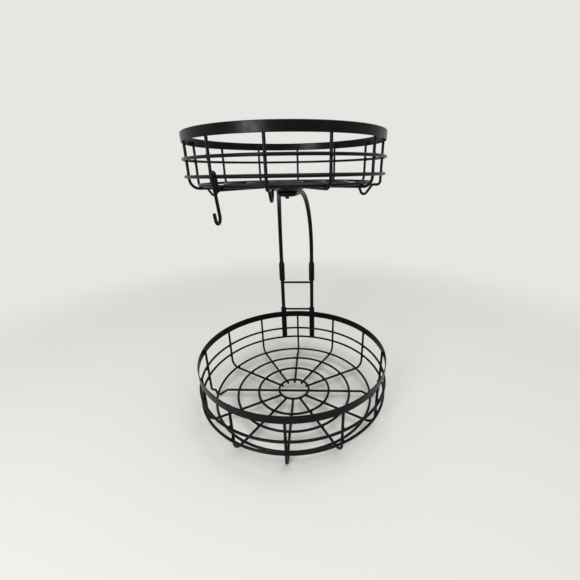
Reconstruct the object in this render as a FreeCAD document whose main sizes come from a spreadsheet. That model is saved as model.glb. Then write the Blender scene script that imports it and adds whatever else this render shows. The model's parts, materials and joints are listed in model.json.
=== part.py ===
import FreeCAD, Part
import math
import os
import Sketcher

# Two-tier round wire basket: a basket on four bent-wire feet, two posts at its back and a smaller basket on
# an arm above it. Millimetres. +Z is up, the front faces -Y, and the origin is on the ground under the lower
# basket's axis. An angle round a basket is counted from its front, towards +X.

SIZES = {
    # Baskets: outside of the rim hoop, depth from the rim's top to the middle of the floor wires, and by how
    # many degrees the upper basket stands turned on its swivel
    "lower_rim_diameter": 292,
    "lower_basket_depth": 83,
    "upper_rim_diameter": 240,
    "upper_basket_depth": 57,
    "tier_rise": 302,
    "upper_turn": -4,
    # Rim hoops of flat strip
    "band_thickness": 1.2,
    "lower_band_height": 12,
    "upper_band_height": 9.6,
    # Wires, their bends and where the hoops cross them
    "lower_wire": 3.8,
    "upper_wire": 3.2,
    "weld_gap": 0.05,
    "spoke_top_drop": 4.5,
    "lower_corner_radius": 14,
    "upper_corner_radius": 10,
    "lower_side_ring_drop": 39.5,
    "upper_side_ring_drop": 26.5,
    "lower_base_ring_drop": 60.2,
    "upper_base_ring_drop": 44.5,
    "lower_floor_ring_inset": 1.5,
    "upper_floor_ring_inset": 1.5,
    "lower_centre_ring_radius": 25,
    "upper_centre_ring_radius": 20.5,
    "lower_spoke_overhang": 0.5,
    "upper_spoke_overhang": 2.5,
    "plain_spokes_between_feet": 2,
    # Feet: dips bent into the floor wires, next to a small heel bend at the foot of the wall
    "lower_heel_radius": 4,
    "upper_heel_radius": 4,
    "lower_heel_flat": 0.5,
    "upper_heel_flat": 4,
    "lower_foot_depth": 10,
    "upper_foot_depth": 10.9,
    "lower_foot_shoulder_radius": 2.8,
    "upper_foot_shoulder_radius": 2.8,
    "lower_foot_toe_radius": 4.2,
    "upper_foot_toe_radius": 4,
    "lower_outer_leg_angle": 75,
    "upper_outer_leg_angle": 55,
    "lower_inner_leg_angle": 36,
    "upper_inner_leg_angle": 66,
    # Posts, their sockets and the sleeves that slip over them
    "post_diameter": 7,
    "post_spacing": 58,
    "slip_clearance": 0.1,
    "seat_gap": 0.2,
    "socket_diameter": 10.6,
    "socket_above_rim": 5,
    "socket_below_hoop": 3,
    "socket_floor": 3,
    "tie_bar_diameter": 4,
    "tie_bar_rise": 2,
    "sleeve_diameter": 10.8,
    "sleeve_rise": 64,
    "sleeve_length": 37.5,
    "sleeve_grip": 22,
    "sleeve_neck_length": 5,
    "sleeve_neck_wall": 0.8,
    "sleeve_chamfer": 1,
    "rung_diameter": 4,
    "rung_below_sleeve": 4,
    # Arm under the upper basket, and its clamp. The arm bends as widely as its straight run above the sleeves
    # and its level run behind the bolt leave room for
    "arm_straight_run": 15,
    "arm_level_run": 30,
    "arm_loop_radius": 10,
    "plate_overhang": 14,
    "plate_thickness": 4,
    "plate_edge": 1.4,
    "plate_taper": 7,
    "swivel_gap": 0.3,
    "bolt_diameter": 6,
    "bolt_clearance": 0.25,
    "bolt_head_diameter": 12,
    "bolt_head_height": 2.4,
    "bolt_head_edge": 0.9,
    "bolt_tail": 5,
    "thread_clearance": 0.05,
    "washer_room": 0.4,
    "washer_thickness": 1.5,
    "nut_flats": 10,
    "nut_height": 5,
    # Hook on the upper basket's lower side ring, and how far it hangs turned to the front and leans
    "hook_wire": 3.4,
    "hook_spoke_clearance": 4.4,
    "hook_ring_gap": 0.3,
    "hook_turn": 25,
    "hook_lean": 12.1,
    "hook_inner_leg": 15,
    "hook_drop": 42.5,
    "hook_bend_radius": 6,
    "hook_tip_rise": 5.8,
}

# What the driving sizes lead to, for either basket. TIER stands for lower or upper.
TIER_PLACES = {
    "TIER_rim_radius": "Sizes.TIER_rim_diameter / 2",
    "TIER_wall_radius": "TIER_rim_radius - Sizes.band_thickness - Sizes.weld_gap - Sizes.TIER_wire / 2",
    "TIER_hoop_radius": "TIER_wall_radius + Sizes.TIER_wire + Sizes.weld_gap",
    "TIER_corner_inner": "TIER_wall_radius - Sizes.TIER_corner_radius",
    "TIER_corner_height": "TIER_floor_height + Sizes.TIER_corner_radius",
    "TIER_heel_inner": "TIER_wall_radius - Sizes.TIER_heel_radius",
    "TIER_heel_height": "TIER_floor_height + Sizes.TIER_heel_radius",
    "TIER_spoke_top": "TIER_rim_height - Sizes.spoke_top_drop",
    "TIER_band_bottom": "TIER_rim_height - Sizes.TIER_band_height",
    "TIER_band_inner": "TIER_rim_radius - Sizes.band_thickness",
    "TIER_upper_hoop_height": "TIER_rim_height - Sizes.TIER_side_ring_drop",
    "TIER_lower_hoop_height": "TIER_rim_height - Sizes.TIER_base_ring_drop",
    "TIER_floor_hoop_height": "TIER_floor_height + Sizes.TIER_wire + Sizes.weld_gap",
    "TIER_outer_ring_radius": "TIER_corner_inner - Sizes.TIER_floor_ring_inset",
    "TIER_ring_step": "(TIER_outer_ring_radius - Sizes.TIER_centre_ring_radius) / 3",
    "TIER_middle_ring_radius": "TIER_outer_ring_radius - TIER_ring_step",
    "TIER_inner_ring_radius": "TIER_middle_ring_radius - TIER_ring_step",
    "TIER_spoke_end": "Sizes.TIER_centre_ring_radius - Sizes.TIER_wire / 2 - Sizes.TIER_spoke_overhang",
    "TIER_foot_bends": "Sizes.TIER_foot_shoulder_radius + Sizes.TIER_foot_toe_radius",
    "TIER_foot_centre": "TIER_heel_inner - Sizes.TIER_heel_flat - TIER_outer_foot_half",
}

# The same for either leg of a basket's feet. LEG stands for outer or inner.
LEG_PLACES = {
    "TIER_LEG_sine": "sin(Sizes.TIER_LEG_leg_angle * 1 deg)",
    "TIER_LEG_cosine": "cos(Sizes.TIER_LEG_leg_angle * 1 deg)",
    "TIER_LEG_leg_drop": "Sizes.TIER_foot_depth - TIER_foot_bends * (1 - TIER_LEG_cosine)",
    "TIER_LEG_leg_run": "TIER_LEG_leg_drop * TIER_LEG_cosine / TIER_LEG_sine",
    "TIER_LEG_foot_half": "TIER_foot_bends * TIER_LEG_sine + TIER_LEG_leg_run",
    "TIER_LEG_shoulder_drop": "Sizes.TIER_foot_shoulder_radius * (1 - TIER_LEG_cosine)",
    "TIER_LEG_shoulder_half": "TIER_LEG_foot_half - Sizes.TIER_foot_shoulder_radius * TIER_LEG_sine",
    "TIER_LEG_toe_half": "Sizes.TIER_foot_toe_radius * TIER_LEG_sine",
    "TIER_LEG_toe_drop": "Sizes.TIER_foot_depth - Sizes.TIER_foot_toe_radius * (1 - TIER_LEG_cosine)",
}

LEVELS = {
    "spoke_step": "90 / (Sizes.plain_spokes_between_feet + 1)",
    "lower_floor_height": "Sizes.lower_foot_depth + Sizes.lower_wire / 2",
    "lower_rim_height": "lower_floor_height + Sizes.lower_basket_depth",
    "upper_rim_height": "lower_rim_height + Sizes.tier_rise",
    "upper_floor_height": "upper_rim_height - Sizes.upper_basket_depth",
}

FRAME_PLACES = {
    "post_half": "Sizes.post_spacing / 2",
    "post_radius": "Sizes.post_diameter / 2",
    "slip_bore": "post_radius + Sizes.slip_clearance",
    "socket_radius": "Sizes.socket_diameter / 2",
    "socket_reach": "lower_hoop_radius + Sizes.lower_wire / 2 + Sizes.weld_gap + socket_radius",
    "post_back": "sqrt(socket_reach * socket_reach - post_half * post_half)",
    "socket_top": "lower_rim_height + Sizes.socket_above_rim",
    "socket_bottom": "lower_lower_hoop_height - Sizes.socket_below_hoop",
    "socket_seat": "socket_bottom + Sizes.socket_floor",
    "tie_bar_height": "lower_rim_height + Sizes.tie_bar_rise",
    "post_bottom": "socket_seat + Sizes.seat_gap",
    "sleeve_bottom": "lower_rim_height + Sizes.sleeve_rise",
    "sleeve_top": "sleeve_bottom + Sizes.sleeve_length",
    "sleeve_shoulder": "sleeve_top - Sizes.sleeve_neck_length",
    "sleeve_radius": "Sizes.sleeve_diameter / 2",
    "post_top": "sleeve_bottom + Sizes.sleeve_grip",
    "rung_height": "sleeve_bottom - Sizes.rung_below_sleeve",
    "arm_bottom": "post_top + Sizes.seat_gap",
    "plate_top": "upper_floor_height - Sizes.upper_wire / 2 - Sizes.swivel_gap",
    "plate_bottom": "plate_top - Sizes.plate_thickness",
    "plate_radius": "Sizes.arm_loop_radius + Sizes.plate_overhang",
    "arm_height": "plate_bottom - Sizes.weld_gap - post_radius",
    "arm_room_above": "arm_height - sleeve_top - Sizes.arm_straight_run",
    "arm_room_behind": "post_back - Sizes.arm_level_run",
    "arm_bend_radius": "min(arm_room_above; arm_room_behind)",
    "arm_toe_in": "(asin(post_half / socket_reach) - asin(Sizes.arm_loop_radius / socket_reach)) / 1 deg",
    "bolt_radius": "Sizes.bolt_diameter / 2",
    "bolt_hole": "bolt_radius + Sizes.bolt_clearance",
    "washer_bottom": "upper_floor_height + Sizes.upper_wire / 2 + Sizes.swivel_gap",
    "washer_top": "washer_bottom + Sizes.washer_thickness",
    "washer_radius": "Sizes.upper_centre_ring_radius - Sizes.upper_wire / 2 - Sizes.washer_room",
    "bolt_head_bottom": "washer_top + Sizes.weld_gap",
    "bolt_head_top": "bolt_head_bottom + Sizes.bolt_head_height",
    "nut_top": "plate_bottom - Sizes.weld_gap",
    "nut_bottom": "nut_top - Sizes.nut_height",
    "bolt_bottom": "nut_bottom - Sizes.bolt_tail",
    "hook_reach": "Sizes.upper_wire / 2 + Sizes.hook_ring_gap + Sizes.hook_wire / 2",
    "hook_eye_radius": "hook_reach / cos(Sizes.hook_turn * 1 deg)",
    "hook_offset": "(Sizes.upper_wire + Sizes.hook_wire) / 2 + Sizes.hook_spoke_clearance",
    "hook_angle": "hook_offset / upper_hoop_radius * 180 / pi - spoke_step + Sizes.upper_turn",
    "hook_facing": "hook_angle + Sizes.hook_turn",
}

QUARTER_TURN = 90
FULL_TURN = 360
NUT_SIDES = 6
FOOT_NAMES = ("front", "right", "back", "left")
LEGS = ("outer", "inner")
SIDES = {"left": -1, "right": 1}
UP = FreeCAD.Vector(0, 0, 1)

# How a sketch numbers its origin, the axis that a zero distance lies on, and the points of a line or arc
ORIGIN_INDEX = (-1, 1)
LEVEL_AXIS_INDEX, UPRIGHT_AXIS_INDEX = -1, -2
AXIS_INDEX = {"DistanceX": UPRIGHT_AXIS_INDEX, "DistanceY": LEVEL_AXIS_INDEX}
START_INDEX, END_INDEX, CENTRE_INDEX = 1, 2, 3
ON_AXIS = 1e-9

document = FreeCAD.newDocument("tiered_wire_basket")
parts = []


def fill_sheet(name, entries):
    """Make a sheet that holds each entry in a row of its own, under its alias."""
    sheet = document.addObject("Spreadsheet::Sheet", name)
    for row, (alias, content) in enumerate(entries.items(), start=1):
        sheet.set(f"A{row}", alias)
        sheet.set(f"B{row}", content)
        sheet.setAlias(f"B{row}", alias)
    document.recompute()
    return sheet


def filled_in(rules, **words):
    """Put real words in the place of the stand-in words of some rules."""
    for blank, word in words.items():
        rules = {alias.replace(blank, word): rule.replace(blank, word) for alias, rule in rules.items()}
    return rules


def all_places():
    """List every worked-out place as a formula of the sheet Places."""
    rules = dict(LEVELS)
    for tier in ("lower", "upper"):
        rules.update(filled_in(TIER_PLACES, TIER=tier))
        for leg in LEGS:
            rules.update(filled_in(LEG_PLACES, TIER=tier, LEG=leg))
    rules.update(FRAME_PLACES)
    return {alias: "=" + rule for alias, rule in rules.items()}


sizes = fill_sheet("Sizes", {alias: str(size) for alias, size in SIZES.items()})
fill_sheet("Places", all_places())


def cell(alias):
    """Name a size or place the way an expression does."""
    return f"Sizes.{alias}" if alias in SIZES else f"Places.{alias}"


def value(expression):
    """Work out an expression of named sizes and places."""
    return float(sizes.evalExpression(expression))


def formula(words):
    """Turn a formula of plain names, with a space between its words, into one of sheet references."""
    return " ".join(cell(word) if word[0].isalpha() else word for word in words.split())


def keep(label, shape_object):
    """Give a finished sub-part its name and put it on the list to write."""
    shape_object.Label = label
    parts.append(shape_object)
    return shape_object


def plane(body, role):
    """Find one of a body's own origin planes."""
    return next(item for item in body.Origin.OriginFeatures if item.Role == role)


def bind_distance(sketch, kind, geometry, end, expression):
    """Hold one coordinate of a point at a bound distance from the sketch's origin."""
    distance = value(expression)
    if abs(distance) < ON_AXIS:
        sketch.addConstraint(Sketcher.Constraint("PointOnObject", geometry, end, AXIS_INDEX[kind]))
        return
    ends = (*ORIGIN_INDEX, geometry, end) if distance > 0 else (geometry, end, *ORIGIN_INDEX)
    index = sketch.addConstraint(Sketcher.Constraint(kind, *ends, abs(distance)))
    sketch.setExpression(f"Constraints[{index}]", expression if distance > 0 else f"-({expression})")


def bind_point(sketch, geometry, end, point):
    """Hold a point of a sketch at two bound coordinates."""
    bind_distance(sketch, "DistanceX", geometry, end, point[0])
    bind_distance(sketch, "DistanceY", geometry, end, point[1])


def arc_between(start, finish, radius, side):
    """Make the arc under a half turn from start to finish that turns to the given side."""
    chord = finish - start
    left = FreeCAD.Vector(-chord.y, chord.x, 0).normalize()
    rise = math.sqrt(max(radius ** 2 - (chord.Length / 2) ** 2, 0))
    centre = start + chord * 0.5 + left * (rise if side == "left" else -rise)
    first, last = (start, finish) if side == "left" else (finish, start)
    circle = Part.Circle(centre, UP, radius)
    opening, closing = [math.atan2(point.y - centre.y, point.x - centre.x) for point in (first, last)]
    return Part.ArcOfCircle(circle, opening, closing if closing > opening else closing + 2 * math.pi)


def draw(sketch, steps, closed=False):
    """Draw lines and arcs through bound points.

    A step is the x and z of a point, as formulas. For an arc to it, it also holds the radius and the side
    that it turns to. A closed outline ends with the line or arc that leads to its first point.
    """
    steps = [tuple(formula(word) for word in step[:3]) + tuple(step[3:]) for step in steps]
    spots = [FreeCAD.Vector(value(step[0]), value(step[1]), 0) for step in steps]
    order = list(range(1, len(steps))) + ([0] if closed else [])
    previous = None
    for index in order:
        start, finish, step = spots[index - 1], spots[index], steps[index]
        if len(step) == 2:
            geometry = sketch.addGeometry(Part.LineSegment(start, finish), False)
            first, last = START_INDEX, END_INDEX
        else:
            geometry = sketch.addGeometry(arc_between(start, finish, value(step[2]), step[3]), False)
            first, last = (START_INDEX, END_INDEX) if step[3] == "left" else (END_INDEX, START_INDEX)
        if previous is None:
            bind_point(sketch, geometry, first, steps[index - 1])
            opening = (geometry, first)
        else:
            sketch.addConstraint(Sketcher.Constraint("Coincident", *previous, geometry, first))
        if index == 0:
            sketch.addConstraint(Sketcher.Constraint("Coincident", geometry, last, *opening))
        else:
            bind_point(sketch, geometry, last, step)
        if len(step) > 2:
            radius = sketch.addConstraint(Sketcher.Constraint("Radius", geometry, value(step[2])))
            sketch.setExpression(f"Constraints[{radius}]", step[2])
        previous = (geometry, last)


def new_sketch(body, name, role):
    """Start a sketch on one of a body's origin planes."""
    sketch = body.newObject("Sketcher::SketchObject", name)
    sketch.AttachmentSupport = [(plane(body, role), "")]
    sketch.MapMode = "FlatFace"
    return sketch


def bent_wire(label, wire, steps, placement):
    """Sweep a round wire along a flat path that starts straight up or down, and put it in its place."""
    body = document.addObject("PartDesign::Body", label)
    path = new_sketch(body, "path", "XZ_Plane")
    draw(path, steps)
    section = new_sketch(body, "section", "XY_Plane")
    section.setExpression("AttachmentOffset.Base.z", formula(steps[0][1]))
    middle = FreeCAD.Vector(value(formula(steps[0][0])), 0, 0)
    radius = formula(f"{wire} / 2")
    circle = section.addGeometry(Part.Circle(middle, UP, value(radius)), False)
    bind_distance(section, "DistanceX", circle, CENTRE_INDEX, formula(steps[0][0]))
    section.addConstraint(Sketcher.Constraint("PointOnObject", circle, CENTRE_INDEX, AXIS_INDEX["DistanceY"]))
    size = section.addConstraint(Sketcher.Constraint("Radius", circle, value(radius)))
    section.setExpression(f"Constraints[{size}]", radius)
    document.recompute()
    pipe = body.newObject("PartDesign::AdditivePipe", "pipe")
    pipe.Profile = section
    pipe.Spine = path
    body.Tip = pipe
    body.Placement = placement
    return keep(label, body)


def facing(angle):
    """Turn a piece drawn along +X to an angle round the basket."""
    return FreeCAD.Rotation(UP, angle - QUARTER_TURN)


def spoke_place(angle):
    """Place a wire that is drawn about the basket's axis."""
    return FreeCAD.Placement(FreeCAD.Vector(), facing(angle))


def turned_piece(label, steps, side=None):
    """Turn a closed profile of bound points about Z, at the basket's axis or at the left or right post."""
    body = document.addObject("PartDesign::Body", label)
    profile = new_sketch(body, "profile", "XZ_Plane")
    draw(profile, steps, closed=True)
    document.recompute()
    revolution = body.newObject("PartDesign::Revolution", "revolution")
    revolution.Profile = profile
    revolution.ReferenceAxis = (profile, ["V_Axis"])
    revolution.Angle = FULL_TURN
    body.Tip = revolution
    if side:
        place_at_post(body, side)
    return keep(label, body)


def place_at_post(piece, side):
    """Move a piece drawn about Z to the left or the right post's axis."""
    piece.setExpression(".Placement.Base.x", f"{SIDES[side]} * {cell('post_half')}")
    piece.setExpression(".Placement.Base.y", cell("post_back"))


def ring(label, radius, wire, height):
    """Bend a round wire into a closed level hoop."""
    torus = document.addObject("Part::Torus", label)
    torus.setExpression("Radius1", cell(radius))
    torus.setExpression("Radius2", formula(f"{wire} / 2"))
    torus.setExpression(".Placement.Base.z", cell(height))
    return keep(label, torus)


def cylinder(name, radius, height):
    """Make an upright cylinder of bound size at the origin."""
    piece = document.addObject("Part::Cylinder", name)
    piece.setExpression("Radius", formula(radius))
    piece.setExpression("Height", formula(height))
    return piece


def rim_band(tier):
    """Roll the flat strip of a rim, with its edges rounded."""
    half, top = "band_thickness / 2", f"{tier}_rim_height - band_thickness / 2"
    bottom = f"{tier}_band_bottom + band_thickness / 2"
    outer, inner = f"{tier}_rim_radius", f"{tier}_band_inner"
    middle = f"{tier}_rim_radius - band_thickness / 2"
    turned_piece(f"{tier}_rim_band", [
        (outer, bottom, half, "left"),
        (outer, top),
        (middle, f"{tier}_rim_height", half, "left"),
        (inner, top, half, "left"),
        (inner, bottom),
        (middle, f"{tier}_band_bottom", half, "left"),
    ])


def wall_steps(tier, bend):
    """List the path of a wire down the wall and round its corner or heel to the floor."""
    return [
        (f"{tier}_wall_radius", f"{tier}_spoke_top"),
        (f"{tier}_wall_radius", f"{tier}_{bend}_height"),
        (f"{tier}_{bend}_inner", f"{tier}_floor_height", f"{tier}_{bend}_radius", "right"),
    ]


def foot_steps(tier):
    """List the path of the dip that makes a foot, from its outer end inwards."""
    centre, floor = f"{tier}_foot_centre", f"{tier}_floor_height"
    shoulder, toe = f"{tier}_foot_shoulder_radius", f"{tier}_foot_toe_radius"
    outer, inner = [f"{tier}_{leg}" for leg in LEGS]
    return [
        (f"{centre} + {outer}_foot_half", floor),
        (f"{centre} + {outer}_shoulder_half", f"{floor} - {outer}_shoulder_drop", shoulder, "left"),
        (f"{centre} + {outer}_toe_half", f"{floor} - {outer}_toe_drop"),
        (f"{centre} - {inner}_toe_half", f"{floor} - {inner}_toe_drop", toe, "right"),
        (f"{centre} - {inner}_shoulder_half", f"{floor} - {inner}_shoulder_drop"),
        (f"{centre} - {inner}_foot_half", floor, shoulder, "left"),
    ]


def mirrored(steps):
    """List the same path on the other side of the axis, walked the other way."""
    far = []
    for index in range(len(steps) - 1, -1, -1):
        turn = steps[index + 1][2:] if index + 1 < len(steps) else ()
        far.append((f"0 - ( {steps[index][0]} )", steps[index][1]) + turn)
    return far


def basket(tier, turn=0, without=()):
    """Make one basket's hoops and wires, turned about its axis, without the footed wires that are named."""
    wire = f"{tier}_wire"
    rim_band(tier)
    ring(f"{tier}_side_ring_upper", f"{tier}_hoop_radius", wire, f"{tier}_upper_hoop_height")
    ring(f"{tier}_side_ring_lower", f"{tier}_hoop_radius", wire, f"{tier}_lower_hoop_height")
    for name in ("outer", "middle", "inner"):
        ring(f"{tier}_floor_ring_{name}", f"{tier}_{name}_ring_radius", wire, f"{tier}_floor_hoop_height")
    ring(f"{tier}_centre_ring", f"{tier}_centre_ring_radius", wire, f"{tier}_floor_hoop_height")
    plain, footed = wall_steps(tier, "corner"), wall_steps(tier, "heel") + foot_steps(tier)
    end = [(f"{tier}_spoke_end", f"{tier}_floor_height")]
    step = value(cell("spoke_step"))
    for quarter, name in enumerate(FOOT_NAMES):
        start = quarter * QUARTER_TURN
        if name not in without:
            bent_wire(f"{tier}_spoke_{name}", wire, footed + end, spoke_place(start + turn))
        for place in range(1, round(value(cell("plain_spokes_between_feet"))) + 1):
            angle = start + place * step
            bent_wire(f"{tier}_spoke_{round(angle):03d}", wire, plain + end, spoke_place(angle + turn))


def cross_wire():
    """Make the lower basket's one wire from its right rim to its left, with a foot at each side."""
    half = wall_steps("lower", "heel") + foot_steps("lower")
    bent_wire("lower_cross_wire", "lower_wire", half + mirrored(half), spoke_place(QUARTER_TURN))


def saddle_bar(label, diameter, height, post_radius):
    """Lay a round bar from post to post, its ends cut to sit against them."""
    bar = cylinder(f"{label}_blank", f"{diameter} / 2", "post_spacing")
    bar.Placement.Rotation = FreeCAD.Rotation(FreeCAD.Vector(0, 1, 0), QUARTER_TURN)
    bar.setExpression(".Placement.Base.x", f"-{cell('post_half')}")
    bar.setExpression(".Placement.Base.y", cell("post_back"))
    bar.setExpression(".Placement.Base.z", cell(height))
    for side in SIDES:
        cutter = cylinder(f"{label}_{side}_end", f"{post_radius} + weld_gap", f"2 * {diameter}")
        place_at_post(cutter, side)
        cutter.setExpression(".Placement.Base.z", formula(f"{height} - {diameter}"))
        cut = document.addObject("Part::Cut", f"{label}_{side}_cut")
        cut.Base, cut.Tool = bar, cutter
        bar = cut
    keep(label, bar)


def sockets():
    """Make the two blind tubes behind the lower basket and the bar between their mouths."""
    for side in SIDES:
        turned_piece(f"{side}_socket", [
            ("0", "socket_bottom"),
            ("socket_radius", "socket_bottom"),
            ("socket_radius", "socket_top"),
            ("slip_bore", "socket_top"),
            ("slip_bore", "socket_seat"),
            ("0", "socket_seat"),
        ], side)
    saddle_bar("socket_tie_bar", "tie_bar_diameter", "tie_bar_height", "socket_radius")


def post_ladder():
    """Make the two posts and the rung between them."""
    for side in SIDES:
        post = cylinder(f"{side}_post", "post_radius", "post_top - post_bottom")
        place_at_post(post, side)
        post.setExpression(".Placement.Base.z", cell("post_bottom"))
        keep(f"{side}_post", post)
    saddle_bar("post_rung", "rung_diameter", "rung_height", "post_radius")


def arm_leg(side):
    """List where one side of the arm rod starts, bends forward and inward, and meets the loop."""
    toe_in = math.radians(value(cell("arm_toe_in")))
    bend, height, loop = [value(cell(name)) for name in ("arm_bend_radius", "arm_height", "arm_loop_radius")]
    start, slant = height - bend, bend * math.sin(math.pi / 4)
    post = FreeCAD.Vector(side * value(cell("post_half")), value(cell("post_back")), 0)
    forward = FreeCAD.Vector(-side * math.sin(toe_in), -math.cos(toe_in), 0)
    meeting = FreeCAD.Vector(side * loop * math.cos(toe_in), -loop * math.sin(toe_in), 0)
    return [
        post + UP * value(cell("arm_bottom")),
        post + UP * start,
        post + forward * (bend - slant) + UP * (start + slant),
        post + forward * bend + UP * height,
        meeting + UP * height,
    ]


def arm_rod():
    """Bend the one rod that rises from both sleeves and runs forward to a loop under the upper basket."""
    left, right = [arm_leg(side) for side in SIDES.values()]
    front = FreeCAD.Vector(0, -value(cell("arm_loop_radius")), value(cell("arm_height")))
    edges = [
        Part.LineSegment(right[0], right[1]),
        Part.Arc(right[1], right[2], right[3]),
        Part.LineSegment(right[3], right[4]),
        Part.Arc(right[4], front, left[4]),
        Part.LineSegment(left[4], left[3]),
        Part.Arc(left[3], left[2], left[1]),
        Part.LineSegment(left[1], left[0]),
    ]
    path = Part.Wire([edge.toShape() for edge in edges])
    section = Part.Wire(Part.makeCircle(value(cell("post_radius")), right[0], UP))
    rod = document.addObject("Part::Feature", "arm_rod")
    rod.Shape = path.makePipeShell([section], True, False)
    rod.Placement = FreeCAD.Placement()
    keep("arm_rod", rod)


def sleeves():
    """Make the two tubes on the arm rod's ends, necked at the top and chamfered at the mouth."""
    for side in SIDES:
        turned_piece(f"{side}_sleeve", [
            ("slip_bore", "sleeve_bottom"),
            ("sleeve_radius - sleeve_chamfer", "sleeve_bottom"),
            ("sleeve_radius", "sleeve_bottom + sleeve_chamfer"),
            ("sleeve_radius", "sleeve_shoulder"),
            ("slip_bore + sleeve_neck_wall", "sleeve_top"),
            ("slip_bore", "sleeve_top"),
        ], side)


def clamp():
    """Make the plate on the arm's loop and the bolt, washer and nut that hold the upper basket on it."""
    turned_piece("arm_plate", [
        ("bolt_hole", "plate_bottom"),
        ("plate_radius - plate_taper", "plate_bottom"),
        ("plate_radius", "plate_top - plate_edge"),
        ("plate_radius", "plate_top"),
        ("bolt_hole", "plate_top"),
    ])
    turned_piece("clamp_washer", [
        ("bolt_hole", "washer_bottom"),
        ("washer_radius", "washer_bottom"),
        ("washer_radius", "washer_top"),
        ("bolt_hole", "washer_top"),
    ])
    turned_piece("clamp_bolt", [
        ("0", "bolt_bottom"),
        ("bolt_radius", "bolt_bottom"),
        ("bolt_radius", "bolt_head_bottom"),
        ("bolt_head_diameter / 2", "bolt_head_bottom"),
        ("bolt_head_diameter / 2", "bolt_head_top - bolt_head_edge"),
        ("bolt_head_diameter / 2 - bolt_head_edge", "bolt_head_top", "bolt_head_edge", "left"),
        ("0", "bolt_head_top"),
    ])
    blank = document.addObject("Part::Prism", "nut_blank")
    blank.Polygon = NUT_SIDES
    blank.setExpression("Circumradius", f"{cell('nut_flats')} / 2 / cos(180 deg / {NUT_SIDES})")
    blank.setExpression("Height", cell("nut_height"))
    thread = cylinder("nut_thread", "bolt_radius + thread_clearance", "nut_height")
    for piece in (blank, thread):
        piece.setExpression(".Placement.Base.z", cell("nut_bottom"))
    nut = document.addObject("Part::Cut", "clamp_nut")
    nut.Base, nut.Tool = blank, thread
    keep("clamp_nut", nut)


def fruit_hook():
    """Bend the hook: a short leg inside the ring, an eye over it, a shank outside and an open hook below."""
    eye, bend, drop = "hook_eye_radius", "hook_bend_radius", "hook_drop"
    lean = FreeCAD.Rotation(FreeCAD.Vector(0, 1, 0), value(cell("hook_lean")))
    place = FreeCAD.Placement(FreeCAD.Vector(), facing(value(cell("hook_facing"))) * lean)
    hook = bent_wire("fruit_hook", "hook_wire", [
        (f"0 - {eye}", "0 - hook_inner_leg"),
        (f"0 - {eye}", "0"),
        ("0", eye, eye, "right"),
        (eye, "0", eye, "right"),
        (eye, f"{bend} - {drop}"),
        (f"{eye} + {bend}", f"0 - {drop}", bend, "left"),
        (f"{eye} + 2 * {bend}", f"{bend} - {drop}", bend, "left"),
        (f"{eye} + 2 * {bend}", f"{bend} - {drop} + hook_tip_rise"),
    ], place)
    turn = f"{cell('hook_angle')} * 1 deg"
    hook.setExpression(".Placement.Base.x", f"{cell('upper_hoop_radius')} * sin({turn})")
    hook.setExpression(".Placement.Base.y", f"-{cell('upper_hoop_radius')} * cos({turn})")
    hook.setExpression(".Placement.Base.z", cell("upper_lower_hoop_height"))


def check_document():
    """Stop if any object failed or any sub-part isn't one sound solid."""
    for item in document.Objects:
        if "Invalid" in item.State or "Error" in item.State:
            raise RuntimeError(f"{item.Label} failed to compute: {item.State}")
    for item in parts:
        if item.Shape.isNull() or not item.Shape.isValid() or len(item.Shape.Solids) != 1:
            raise RuntimeError(f"{item.Label} is not one sound solid")


def write_parts():
    """Write each sub-part's solid to a file of its own name."""
    os.makedirs("parts", exist_ok=True)
    for item in parts:
        item.Shape.exportStep(f"parts/{item.Label}.step")


basket("lower", without=("left", "right"))
cross_wire()
sockets()
post_ladder()
arm_rod()
sleeves()
clamp()
basket("upper", turn=value(cell("upper_turn")))
fruit_hook()
document.recompute()
check_document()
write_parts()
print(len(parts), "sub-parts written")
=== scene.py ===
"""Dress the tiered wire basket: satin black coats, weld beads, rounded edges, a thread and a studio."""

import json
import logging
import math
from dataclasses import dataclass
from enum import Enum
from typing import Iterable, Iterator

import bmesh
import bpy
from mathutils import Matrix, Vector


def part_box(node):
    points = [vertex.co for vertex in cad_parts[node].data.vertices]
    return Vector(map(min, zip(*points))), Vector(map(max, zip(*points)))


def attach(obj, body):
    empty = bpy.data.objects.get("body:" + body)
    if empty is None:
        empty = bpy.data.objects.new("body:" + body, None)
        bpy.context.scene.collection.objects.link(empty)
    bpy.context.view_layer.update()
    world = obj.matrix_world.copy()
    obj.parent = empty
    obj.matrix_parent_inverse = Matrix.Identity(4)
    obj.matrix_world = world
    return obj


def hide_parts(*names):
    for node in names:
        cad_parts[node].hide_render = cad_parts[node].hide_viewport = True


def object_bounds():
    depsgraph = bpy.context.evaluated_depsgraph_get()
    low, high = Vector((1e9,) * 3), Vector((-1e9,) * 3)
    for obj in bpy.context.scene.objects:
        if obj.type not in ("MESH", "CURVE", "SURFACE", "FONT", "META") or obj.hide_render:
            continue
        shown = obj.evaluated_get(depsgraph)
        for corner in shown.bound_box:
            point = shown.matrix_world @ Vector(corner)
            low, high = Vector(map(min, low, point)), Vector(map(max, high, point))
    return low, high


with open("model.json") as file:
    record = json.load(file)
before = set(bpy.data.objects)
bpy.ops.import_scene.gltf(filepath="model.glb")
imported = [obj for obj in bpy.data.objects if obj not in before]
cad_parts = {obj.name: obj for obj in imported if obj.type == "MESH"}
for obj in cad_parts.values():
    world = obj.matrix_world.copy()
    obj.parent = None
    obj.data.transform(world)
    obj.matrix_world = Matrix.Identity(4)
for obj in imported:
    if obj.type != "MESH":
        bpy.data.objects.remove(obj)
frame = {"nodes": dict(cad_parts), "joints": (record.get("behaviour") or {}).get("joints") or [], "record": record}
CAD_LOW, CAD_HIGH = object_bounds()

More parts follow.
